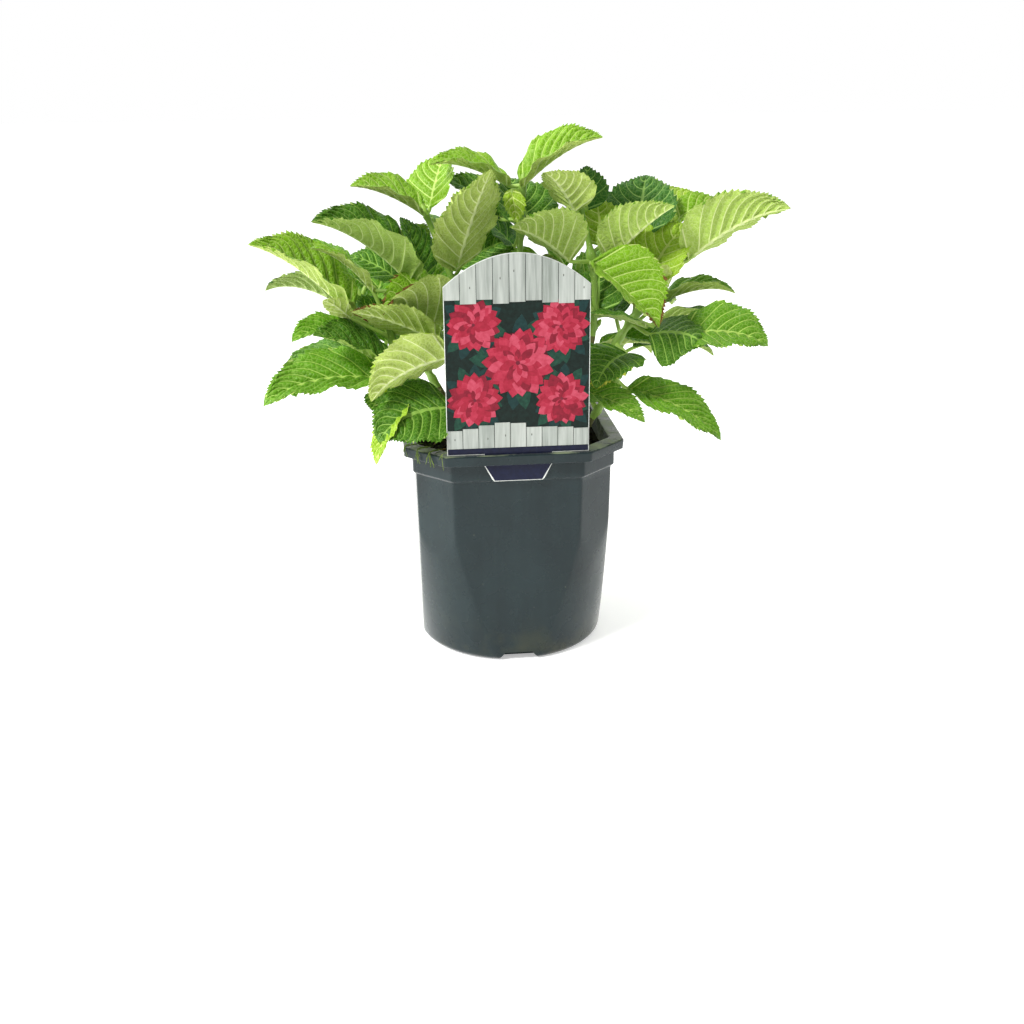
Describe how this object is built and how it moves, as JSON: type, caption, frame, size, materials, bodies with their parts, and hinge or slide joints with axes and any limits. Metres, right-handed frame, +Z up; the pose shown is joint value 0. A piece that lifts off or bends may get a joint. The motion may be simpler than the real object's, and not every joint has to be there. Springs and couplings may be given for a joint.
{
  "type": "potted hydrangea shrub",
  "caption": "Young leafy hydrangea shrub without blossom, in a dark nursery pot with a square rim and a round foot, with an arched plant card in its front rim.",
  "frame": {"origin": "middle of the pot's flat underside, on the pot's axis", "axes": "+Z up along the pot's axis, -Y towards the front face of the pot, where the plant card stands"},
  "size_m": [0.2966, 0.1903, 0.2973],
  "materials": {
    "pot_plastic": "semi-matte dark slate plastic, dusty and green with algae along the rim",
    "potting_mix": "dark damp peat with moss flecks",
    "card": "smooth printed plastic card",
    "cane": "green-brown young wood with pale specks",
    "leaf": "satin green, quilted between sunken veins, pale underneath"
  },
  "bodies": {
    "root": {"pot": "pot_plastic", "soil": "potting_mix", "plant_card": "card", "stem_left": "cane", "foliage_left": "leaf", "stem_upper_left": "cane", "foliage_upper_left": "leaf", "stem_middle_left": "cane", "foliage_middle_left": "leaf", "stem_middle": "cane", "foliage_middle": "leaf", "stem_middle_right": "cane", "foliage_middle_right": "leaf", "stem_right": "cane", "foliage_right": "leaf", "stem_low_right": "cane", "foliage_low_right": "leaf", "stem_low_left": "cane", "foliage_low_left": "leaf", "stem_side_left": "cane", "foliage_side_left": "leaf", "stem_side_right": "cane", "foliage_side_right": "leaf", "stem_back_left": "cane", "foliage_back_left": "leaf", "stem_back_right": "cane", "foliage_back_right": "leaf", "stem_back_middle": "cane", "foliage_back_middle": "leaf", "stem_back_top": "cane", "foliage_back_top": "leaf", "stem_low_back": "cane", "foliage_low_back": "leaf", "stem_low_back_left": "cane", "foliage_low_back_left": "leaf", "stem_low_back_right": "cane", "foliage_low_back_right": "leaf"}
  },
  "joints": []
}
